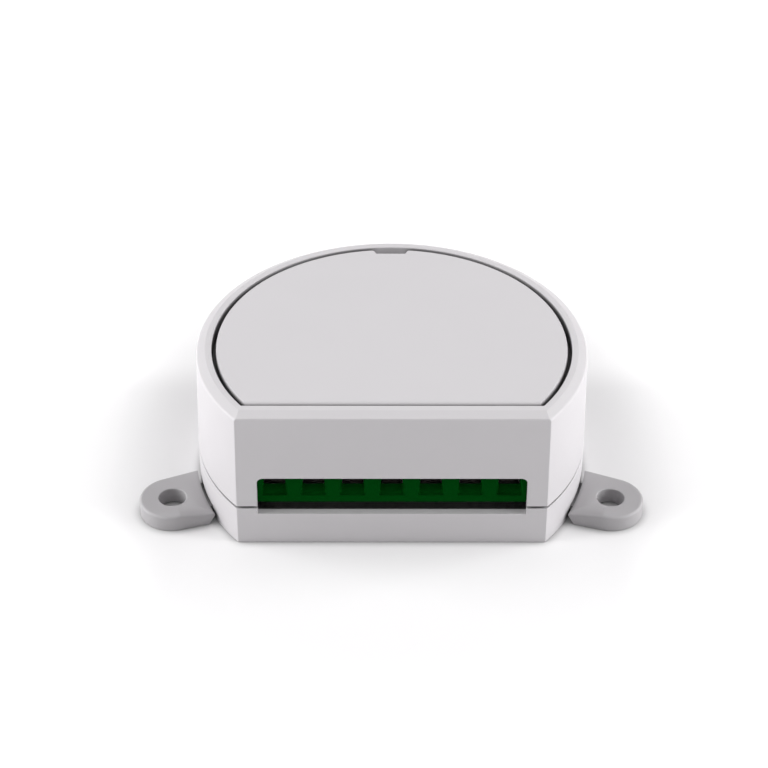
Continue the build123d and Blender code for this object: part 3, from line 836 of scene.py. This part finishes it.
class DIMMER_OT_upper_shell(bpy.types.Operator):
    """Build the housing's cover with the recess, the roof and the terminal opening"""
    bl_idname = "dimmer.upper_shell"
    bl_label = "Upper Shell"

    def execute(self, context):
        sizes = context.scene.dimmer_housing
        piece = add_object("housing_cover", upper_outside())
        below = parting_height - cut_over
        cavity = add_object("cavity", plain_d(cavity_radius, cavity_front, below, roof_bottom))
        combine(cavity, [plain_d(skin_radius, cavity_front, below, lip_top)], "UNION")
        guide = brick((-block_high[0], block_high[0]), (screw_y - pole_pitch / 2, screw_y + pole_pitch / 2),
                      (block_top, roof_bottom + cut_over))
        tube_radius = post_radius + seat_gap + post_tube_wall
        tube_foot = recess_floor - post_length - cut_over
        tubes = [rod(x, y, tube_radius, tube_foot, roof_bottom + cut_over) for x, y in post_places()]
        combine(cavity, [guide, *tubes], "DIFFERENCE")
        cavity_solid = bmesh.new()
        cavity_solid.from_mesh(cavity.data)
        bpy.data.meshes.remove(cavity.data)
        edge = sizes.edge_round / 2
        holes = [hole(pole_x(index), screw_y, driver_hole_radius, block_top - cut_over, recess_floor, edge)
                 for index in range(pole_count)]
        holes += [hole(x, y, post_radius + seat_gap, tube_foot - cut_over, recess_floor, edge)
                  for x, y in post_places()]
        button_radius = half_width_of("program_button") + slide_gap
        holes.append(hole(button_x, button_y, button_radius, board_top, recess_floor, edge))
        holes.append(hole(pipe_x, pipe_y, pipe_radius + seat_gap, board_top, recess_floor, edge))
        pockets = [snap_bead(angle, pocket_span, seat_gap) for angle in bead_angles]
        combine(piece, [cavity_solid, opening_cutter(), *holes, *pockets], "DIFFERENCE")
        material = shell_plastic("housing_plastic_upper", sizes.colour)
        dress(piece, material, "housing", "housing_plastic", "upper_shell")
        return {"FINISHED"}


class DIMMER_OT_lower_shell(bpy.types.Operator):
    """Build the tray with its lap lip, bosses and the sockets of the ears"""
    bl_idname = "dimmer.lower_shell"
    bl_label = "Lower Shell"

    def execute(self, context):
        sizes = context.scene.dimmer_housing
        slope = wall_slopes()[1]
        corners = [(foot_round * 2, 0), (slope * parting_height, 0), (slope * parting_groove, lower_top),
                   (foot_round * 2, lower_top)]
        levels = [(body_radius - inset, front_face - inset, height)
                  for inset, height in rounded_path(corners, [foot_round, sizes.edge_round / 2])]
        piece = add_object("housing_tray", d_solid(levels, sizes.edge_round))
        lip = plain_d(lip_radius, cavity_front, floor_thickness, lip_top)
        combine(piece, [lip, *[snap_bead(angle, bead_span, 0) for angle in bead_angles]], "UNION")
        inside = plain_d(cavity_radius, cavity_front - seat_gap, floor_thickness, lip_top + cut_over)
        combine(piece, [inside], "DIFFERENCE")
        combine(piece, [solid for side in (1, -1) for solid in self.holders(side)], "UNION")
        slots = [tongue_bar(slide_gap, side) for side in (1, -1)]
        x, y = polar(cavity_radius - boss_inset, boss_angle)
        screw_foot = board_low[2] - boss_radius
        screw_holes = [rod(side * x, y, screw_hole_radius, screw_foot, board_top) for side in (1, -1)]
        combine(piece, [opening_cutter(), *slots, *screw_holes], "DIFFERENCE")
        material = shell_plastic("housing_plastic_lower", sizes.colour, groove_open_share)
        # Painted shade in the nearly closed places inside the tray and its slot.
        shade_crevices(material.node_tree, inner_shade_reach, inner_open_share)
        dress(piece, material, "housing", "housing_plastic", "lower_shell")
        return {"FINISHED"}

    def holders(self, side):
        """The boss, the rest and the ear's socket on one side of the tray."""
        base = floor_thickness / 2
        columns = []
        for radius, inset, angle in ((boss_radius, boss_inset, boss_angle),
                                     (rest_radius, rest_inset, rest_angle)):
            x, y = polar(cavity_radius - inset, angle)
            columns.append(rod(side * x, y, radius, base, board_low[2]))
        top = tongue_base + tongue_thickness + slide_gap + socket_wall
        reach = ear_reach()
        socket = ear_bar(tongue_width + 2 * (slide_gap + socket_wall), -reach - tongue_length - socket_wall,
                         -reach - round_wall / 2, base, top, side)
        return [*columns, socket]


# Top plate

def plate_outline(front_inset):
    """The plate's outline with its pry notch at the back, drawn in by an inset of its front."""
    sizes = bpy.context.scene.dimmer_plate
    inset = front_inset * side_edge_share
    radius, front = plate_radius - inset, plate_front - front_inset
    half = sizes.notch_width / 2 + inset
    mouth = half + sizes.notch_flare
    start = mouth + 2 * notch_round
    inner = plate_radius - sizes.notch_depth - inset

    def on_rim(x):
        return x, sqrt(radius ** 2 - x ** 2)

    corners = [on_rim(start), on_rim(mouth), (half, inner), (-half, inner), on_rim(-mouth), on_rim(-start)]
    bend = notch_round / 2
    notch = rounded_path(corners, [bend + inset / 2, bend, bend, bend + inset / 2])
    right, turn = front_corner(radius, front, plate_corner)
    right += arc((0, 0), radius, turn, pi / 2 - asin(start / radius), arc_steps // 2)[1:-1]
    return right + notch + [(-x, y) for x, y in reversed(right)]


class DIMMER_OT_top_plate(bpy.types.Operator):
    """Build the inset plate with its notch and the four posts below"""
    bl_idname = "dimmer.top_plate"
    bl_label = "Top Plate"

    def execute(self, context):
        sizes = context.scene.dimmer_plate
        base = recess_floor + seat_gap
        foot = plate_foot_round
        loops = [flat(plate_outline(growth), base + depth) for depth, growth in quarter_round(foot)]
        loops += [flat(plate_outline(growth), total_height - depth)
                  for depth, growth in reversed(quarter_round(sizes.edge_round))]
        piece = add_object("inset_plate", lofted(loops))
        low = recess_floor - post_length
        posts = [turned(x, y, [(post_radius - post_chamfer, low), (post_radius, low + post_chamfer),
                               (post_radius, base + seat_gap)]) for x, y in post_places()]
        combine(piece, posts, "UNION")
        material = shell_plastic("plate_plastic", context.scene.dimmer_housing.colour)
        dress(piece, material, "plate", "housing_plastic", "top_plate")
        return {"FINISHED"}


# Mounting ears

def ear_outline(inset, relief):
    """The right ear's outline about its hole, drawn in by an inset, and by a relief at the wall."""
    sizes = bpy.context.scene.dimmer_ears
    centre = ear_hole()
    along, across = ear_axes()
    middle = Vector((-centre.dot(along), -centre.dot(across)))
    half = sizes.half_width - inset
    wall = ear_wall_radius() + relief + min(inset, ear_inner_round)
    corner = max(ear_corner_round - inset, seat_gap)

    def corner_centre(side):
        y = side * (half + sizes.flare - corner)
        return Vector((middle.x + sqrt((wall + corner) ** 2 - (y - middle.y) ** 2), y))

    top, foot = corner_centre(1), corner_centre(-1)
    to_top, to_foot = middle - top, middle - foot
    top_turn = atan2(to_top.y, to_top.x) % (2 * pi)
    foot_turn = atan2(to_foot.y, to_foot.x) % (2 * pi)
    ring = arc((0, 0), half, -pi / 2, pi / 2, hole_steps)
    ring += arc(top, corner, pi / 2, top_turn, corner_steps)
    ring += arc(middle, wall, top_turn - pi, foot_turn - pi, ear_end_steps)[1:-1]
    ring += arc(foot, corner, foot_turn, 3 * pi / 2, corner_steps)
    return [tuple(centre + along * x + across * y) for x, y in ring]


def ear_wall_radius():
    """The radius of the ear's inner end, which follows the wall with a gap."""
    slope = wall_slopes()[1]
    return body_radius - slope * (parting_height - ear_high[2]) + ear_wall_gap


def ear_thickness_share(x, y):
    """The share of its thickness that the right ear has at a point: less in front, by the wall."""
    sizes = bpy.context.scene.dimmer_ears
    point = Vector((x, y))
    front = 1 / 2 - (point - ear_hole()).dot(ear_axes()[1]) / (2 * sizes.half_width)
    near = max(0, 1 - (point.length - ear_wall_radius()) / sizes.slope_reach)
    return 1 - sizes.slope_share * front * near ** 2


def ear_solid():
    """The right ear: a lug with a rounded top that slopes down in front, and an undercut."""
    sizes = bpy.context.scene.dimmer_ears
    top = ear_high[2]

    def relief(height):
        return max(0, sizes.relief_width * (1 - height / sizes.relief_height))

    loops = [(growth, relief(depth), depth) for depth, growth in quarter_round(ear_foot_round)]
    loops += [(growth, relief(top - depth), top - depth)
              for depth, growth in reversed(quarter_round(sizes.edge_round))]
    loops += [(sizes.edge_round + slope_band * step / slope_steps,
               sizes.slope_reach * step / slope_steps, top) for step in range(1, slope_steps + 1)]
    return lofted([[(x, y, height * ear_thickness_share(x, y)) for x, y in ear_outline(inset, inward)]
                   for inset, inward, height in loops])


def ear_hole_cutter():
    """The screw hole with its upper and lower edges rounded."""
    sizes = bpy.context.scene.dimmer_ears
    centre = ear_hole()
    top, radius, bend = ear_high[2], sizes.hole_radius, sizes.hole_round
    foot = [(radius + growth, depth) for depth, growth in quarter_round(ear_foot_round)]
    head = [(radius + growth, top - depth) for depth, growth in reversed(quarter_round(bend))]
    return turned(centre.x, centre.y, [(radius + ear_foot_round, -cut_over), *foot, *head,
                                       (radius + bend, top + cut_over)])


class DIMMER_OT_ears(bpy.types.Operator):
    """Build the two mounting ears with their screw holes and tongues"""
    bl_idname = "dimmer.ears"
    bl_label = "Mounting Ears"

    def execute(self, context):
        material = shell_plastic("ear_plastic", context.scene.dimmer_ears.colour)
        for side, word in ((1, "right"), (-1, "left")):
            piece = add_object(f"mounting_ear_{word}", ear_solid())
            combine(piece, [ear_hole_cutter()], "DIFFERENCE")
            combine(piece, [tongue_bar(0, 1)], "UNION")
            if side < 0:
                piece.data.transform(Matrix.Scale(-1, 4, (1, 0, 0)))
                piece.data.flip_normals()
            dress(piece, material, f"{word}_ear", "ear_plastic", f"ear_{word}")
        return {"FINISHED"}


# Terminal block

def funnel_cutter(x):
    """The tapered mouth of one pole, with a rounded edge."""
    sizes = bpy.context.scene.dimmer_terminals
    front = block_low[1]
    low = board_top + sizes.funnel_sill
    high = low + sizes.funnel_height

    def loop(inset, depth):
        foot, top = sizes.foot_width / 2 - inset, sizes.top_width / 2 - inset
        bottom, head = low + inset, high - inset
        corners = [(0, bottom), (foot, bottom), (top, head), (-top, head), (-foot, bottom), (0, bottom)]
        bend = 2 * sizes.edge_round - min(0, inset)
        ring = rounded_path(corners, [bend] * 4)[:-1]
        return [(x + across, front + depth, height) for across, height in ring]

    loops = [loop(-sizes.edge_round, -cut_over)]
    loops += [loop(-growth, depth) for depth, growth in quarter_round(sizes.edge_round)]
    return lofted([*loops, loop(sizes.inset, chamber_front - front + cut_over)])


class DIMMER_OT_terminal_block(bpy.types.Operator):
    """Build the green block with a funnel, a chamber and a screw well for each pole"""
    bl_idname = "dimmer.terminal_block"
    bl_label = "Terminal Block"

    def execute(self, context):
        sizes = context.scene.dimmer_terminals
        edge = sizes.edge_round
        front, back = block_low[1], block_high[1]
        middle = (front + back) / 2
        corners = [(middle, board_top), (front + block_foot_chamfer, board_top),
                   (front, board_top + block_foot_height), (front, block_top), (back, block_top),
                   (back, board_top), (middle, board_top)]
        ring = rounded_path(corners, [edge] * 5)[:-1]
        half = block_high[0]
        piece = add_object("terminal_housing", lofted([[(x, y, z) for y, z in ring] for x in (-half, half)]))
        shank, reach = screw_radius + seat_gap, chamber_width / 2
        cutters = []
        for index in range(pole_count):
            x = pole_x(index)
            cutters.append(funnel_cutter(x))
            cutters.append(brick((x - reach, x + reach), (chamber_front, chamber_back),
                                 (board_top - cut_over, chamber_top)))
            cutters.append(rod(x, screw_y, shank, chamber_top - cut_over, block_top + cut_over))
            cutters.append(hole(x, screw_y, driver_hole_radius, head_base - seat_gap, block_top, edge))
        combine(piece, cutters, "DIFFERENCE")
        material = block_plastic("terminal_plastic", sizes.colour)
        dress(piece, material, "housing", "terminal_green", "terminal_body")
        return {"FINISHED"}


# Pieces whose shape is the frame's own

class DIMMER_OT_clamps(bpy.types.Operator):
    """Finish the clamping screws, cages, contact strips and board screws"""
    bl_idname = "dimmer.clamps"
    bl_label = "Clamps and Screws"

    def execute(self, context):
        finish_nodes(plated_metal("screw_zinc", screw_zinc, roughness=0.3), "board_screws",
                     *numbered("terminal_screw"))
        # The clamps' darker zinc is painted shade.
        finish_nodes(plated_metal("clamp_zinc_and_painted_shade", clamp_zinc_and_painted_shade, roughness=0.3, brushed=(1, 0.15, 1)),
                     *numbered("terminal_clamp"))
        finish_nodes(plated_metal("tinned_contact", contact_tin, roughness=0.25), "terminal_pins",
                     "header_pins", "antenna")
        return {"FINISHED"}


class DIMMER_OT_boards(bpy.types.Operator):
    """Finish the two circuit boards, the shield and the header"""
    bl_idname = "dimmer.boards"
    bl_label = "Circuit Boards"

    def execute(self, context):
        finish_nodes(solder_mask("board_lacquer", board_green), "main_board", "radio_board")
        finish_nodes(plated_metal("shield_tin", shield_tin, roughness=0.3), "radio_shield")
        finish_nodes(moulded_plastic("header_plastic", header_black, roughness=0.55), "header_strip")
        return {"FINISHED"}


class DIMMER_OT_power_parts(bpy.types.Operator):
    """Finish the power parts on the main board"""
    bl_idname = "dimmer.power_parts"
    bl_label = "Power Parts"

    def execute(self, context):
        finish_nodes(moulded_plastic("package_plastic", package_black), "button_switch",
                     "bridge_rectifier", "power_transistors", "fuse")
        finish_nodes(dipped_lacquer("varistor_lacquer", varistor_blue), "varistor")
        finish_nodes(sintered_ferrite("core_ferrite", core_grey), "choke_core")
        finish_nodes(wound_copper("winding_copper", winding_copper), "choke_winding")
        finish_nodes(plated_metal("can_aluminium", can_aluminium, roughness=0.34), "bulk_capacitor",
                     "heat_sink")
        finish_nodes(moulded_plastic("film_case", film_yellow, roughness=0.45), "film_capacitor")
        return {"FINISHED"}


class DIMMER_OT_button_and_light(bpy.types.Operator):
    """Finish the programming button, the status light and its clear rod"""
    bl_idname = "dimmer.button_and_light"
    bl_label = "Button and Light"

    def execute(self, context):
        finish_nodes(moulded_plastic("button_plastic", button_white, roughness=0.4), "program_button")
        finish_nodes(dipped_lacquer("light_lens", lens_white), "status_led")
        finish_nodes(clear_acrylic("pipe_acrylic", acrylic_clear), "light_pipe")
        return {"FINISHED"}


# Stage

def soft_panel(name, place, size, power):
    """A square soft light that faces the middle of the module."""
    light = bpy.data.lights.new(name, "AREA")
    light.size = size
    light.energy = power
    lamp = bpy.data.objects.new(name, light)
    lamp.location = place
    ahead = Vector((0, 0, total_height / 2)) - Vector(place)
    lamp.rotation_euler = ahead.to_track_quat("-Z", "Y").to_euler()
    bpy.context.scene.collection.objects.link(lamp)


def where_seen(tree):
    """1 for what the camera, gloss and glass see, 0 for the light on other surfaces."""
    path = add_node(tree, "LightPath", {})
    seen = path.outputs["Is Camera Ray"]
    for kind in ("Is Glossy Ray", "Is Transmission Ray"):
        seen = calculate(tree, "MAXIMUM", seen, path.outputs[kind])
    return seen


def light_world(strength):
    """An even sky, white where it is seen."""
    world = bpy.data.worlds.new("studio")
    bpy.context.scene.world = world
    world.use_nodes = True
    tree = world.node_tree
    sky = tree.nodes["Background"]
    sky.inputs["Color"].default_value = (1, 1, 1, 1)
    sky.inputs["Strength"].default_value = strength
    white = add_node(tree, "Background", {})
    mix = add_node(tree, "MixShader", {"Fac": where_seen(tree), 1: sky.outputs["Background"],
                                       2: white.outputs["Background"]})
    tree.links.new(mix.outputs["Shader"], tree.nodes["World Output"].inputs["Surface"])


def floor_material(sizes):
    """A pale matt floor that the camera sees go over to white away from the module."""
    matt = {"Roughness": 0.9, "Specular IOR Level": 0.0}
    material, tree = new_material("floor_paper", sizes.floor_colour, matt)
    vary_colour(tree, cloud(tree, paper_size, mid_detail), sizes.floor_colour, change_share=0.004)
    # Painted shade on the floor close beside the module's foot.
    shade_crevices(tree, foot_shade_reach)
    place = place_in(tree)
    x, y, _ = axes_of(tree, place)
    distance = add_node(tree, "VectorMath", {0: place}, operation="LENGTH").outputs["Value"]
    middle = (body_radius - front_face) / 2
    side_way = calculate(tree, "ABSOLUTE", x, 0)
    fore_way = calculate(tree, "ABSOLUTE", calculate(tree, "SUBTRACT", y, middle), 0)
    sides = rise_from(tree, side_way, side_glow_start, side_glow_full, sizes.side_glow)
    fore = rise_from(tree, fore_way, fore_glow_start, fore_glow_full, sizes.fore_glow)
    far = rise_from(tree, distance, far_glow_start, far_glow_full, 1)
    glow = calculate(tree, "ADD", calculate(tree, "ADD", sides, fore), far)
    lift = add_node(tree, "Emission", {"Strength": calculate(tree, "MULTIPLY", where_seen(tree), glow)})
    shader = tree.nodes["Principled BSDF"]
    both = add_node(tree, "AddShader", {0: shader.outputs["BSDF"], 1: lift.outputs["Emission"]})
    tree.links.new(both.outputs["Shader"], tree.nodes["Material Output"].inputs["Surface"])
    return material


class DIMMER_OT_stage(bpy.types.Operator):
    """Set up the floor, the soft lights and the camera"""
    bl_idname = "dimmer.stage"
    bl_label = "Stage"

    def execute(self, context):
        sizes = context.scene.dimmer_stage
        half = floor_half
        floor = bmesh.new()
        corners = [(-half, -half, 0), (half, -half, 0), (half, half, 0), (-half, half, 0)]
        floor.faces.new([floor.verts.new(corner) for corner in corners])
        stage_floor = add_object("floor", floor)
        stage_floor.data.materials.append(floor_material(sizes))
        light_world(sizes.sky_light)
        panels = [("side_panel", low_panel, sizes.side_light),
                  ("upper_panel", high_panel, sizes.upper_light)]
        for name, (reach, height), power in panels:
            for side, word in ((1, "right"), (-1, "left")):
                soft_panel(f"{name}_{word}", (side * reach, 0, height), panel_size, power)
        self.place_camera(context, sizes)
        return {"FINISHED"}

    def place_camera(self, context, sizes):
        """Stands the camera at the photograph's place and turns it the same way."""
        pitch, yaw, roll = sizes.camera_pitch, sizes.camera_yaw, sizes.camera_roll
        ahead = Vector((sin(yaw) * cos(pitch), cos(yaw) * cos(pitch), -sin(pitch)))
        level = Vector((cos(yaw), -sin(yaw), 0))
        upright = level.cross(ahead)
        right = level * cos(roll) + upright * sin(roll)
        up = upright * cos(roll) - level * sin(roll)
        data = bpy.data.cameras.new("camera")
        data.lens = sizes.lens
        data.sensor_width = sizes.sensor
        data.clip_start = total_height / 2
        camera = bpy.data.objects.new("camera", data)
        turn = Matrix((right, up, -ahead)).transposed().to_4x4()
        camera.matrix_world = Matrix.Translation(sizes.camera_place) @ turn
        context.scene.collection.objects.link(camera)
        context.scene.camera = camera
        context.scene.view_settings.view_transform = "Standard"


piece_operators = (
    DIMMER_OT_upper_shell,
    DIMMER_OT_lower_shell,
    DIMMER_OT_top_plate,
    DIMMER_OT_ears,
    DIMMER_OT_terminal_block,
    DIMMER_OT_clamps,
    DIMMER_OT_boards,
    DIMMER_OT_power_parts,
    DIMMER_OT_button_and_light,
    DIMMER_OT_stage,
)

setting_groups = {
    "dimmer_housing": HousingSettings,
    "dimmer_plate": PlateSettings,
    "dimmer_ears": EarSettings,
    "dimmer_terminals": TerminalSettings,
    "dimmer_stage": StageSettings,
}


class DIMMER_PT_pieces(bpy.types.Panel):
    """Lists the pieces of the dimmer module and the stage"""
    bl_idname = "DIMMER_PT_pieces"
    bl_label = "Dimmer Module"
    bl_space_type = "VIEW_3D"
    bl_region_type = "UI"
    bl_category = "Dimmer"

    def draw(self, context):
        layout = self.layout
        for operator in piece_operators:
            layout.operator(operator.bl_idname)
        for name, group in setting_groups.items():
            box = layout.box()
            box.label(text=group.__doc__)
            for setting in group.__annotations__:
                box.prop(getattr(context.scene, name), setting)


def register():
    for group in setting_groups.values():
        bpy.utils.register_class(group)
    for name, group in setting_groups.items():
        setattr(bpy.types.Scene, name, PointerProperty(type=group))
    for operator in piece_operators:
        bpy.utils.register_class(operator)
    bpy.utils.register_class(DIMMER_PT_pieces)


def unregister():
    bpy.utils.unregister_class(DIMMER_PT_pieces)
    for operator in reversed(piece_operators):
        bpy.utils.unregister_class(operator)
    for name in setting_groups:
        delattr(bpy.types.Scene, name)
    for group in reversed(setting_groups.values()):
        bpy.utils.unregister_class(group)


def main():
    register()
    for operator in piece_operators:
        group, name = operator.bl_idname.split(".")
        getattr(getattr(bpy.ops, group), name)()


if __name__ == "__main__":
    main()
